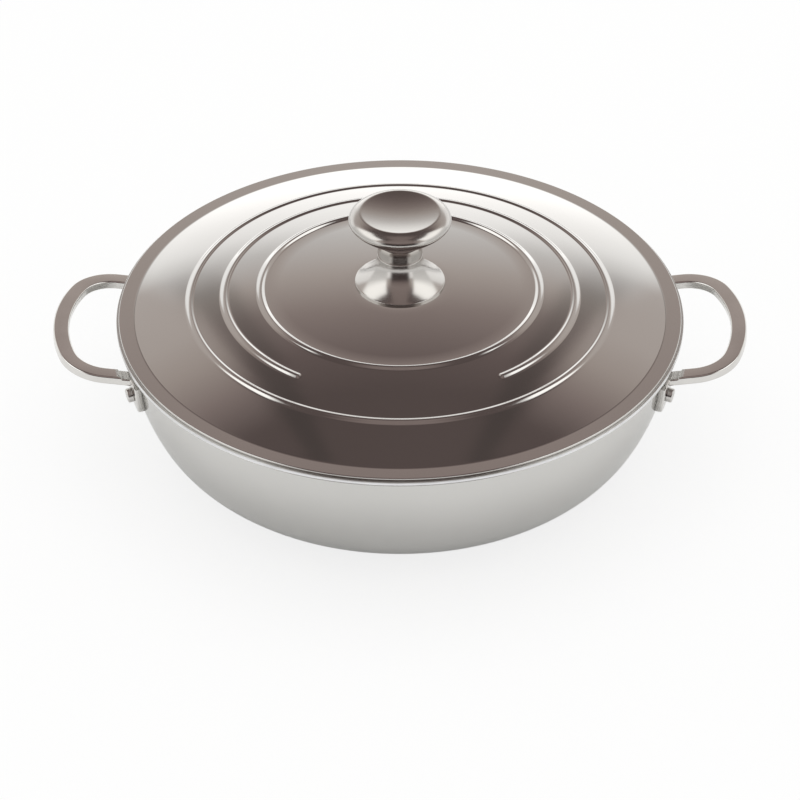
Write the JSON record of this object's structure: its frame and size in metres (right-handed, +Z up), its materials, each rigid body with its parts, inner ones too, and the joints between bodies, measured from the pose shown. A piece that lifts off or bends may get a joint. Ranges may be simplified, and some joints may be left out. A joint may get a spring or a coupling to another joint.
{
  "type": "shallow casserole",
  "caption": "Shallow round casserole in polished stainless steel, with looped side handles riveted on and a domed lid with a mushroom knob.",
  "frame": {"origin": "centre of the pan's flat base, on the plane it stands on", "axes": "+Z up along the pan's axis, +X towards the right handle, -Y towards the front, where the picture's camera is"},
  "size_m": [0.389, 0.3166, 0.1469],
  "materials": {
    "outer_steel": "polished magnetic stainless steel",
    "core_aluminium": "bare cut edge",
    "inner_steel": "satin stainless steel",
    "cast_steel": "polished cast stainless steel",
    "rivet_steel": "satin stainless steel",
    "lid_steel": "polished stainless steel",
    "knob_steel": "finely polished cast stainless steel",
    "fixing_steel": "plain stainless steel"
  },
  "bodies": {
    "pan": {"pan_outer_ply": "outer_steel", "pan_aluminium_core": "core_aluminium", "pan_inner_lining": "inner_steel", "right_handle": "cast_steel", "left_handle": "cast_steel", "right_back_rivet": "rivet_steel", "right_front_rivet": "rivet_steel", "left_back_rivet": "rivet_steel", "left_front_rivet": "rivet_steel"},
    "lid": {"lid_shell": "lid_steel", "knob_skirt": "knob_steel", "knob_cap": "knob_steel", "knob_insert": "fixing_steel", "knob_washer": "fixing_steel", "knob_screw": "fixing_steel"}
  },
  "joints": [
    {"name": "lid_lift", "type": "slide", "parent": "pan", "child": "lid", "axis": [0, 0, 1], "range_m": [0, 0.15]}
  ]
}
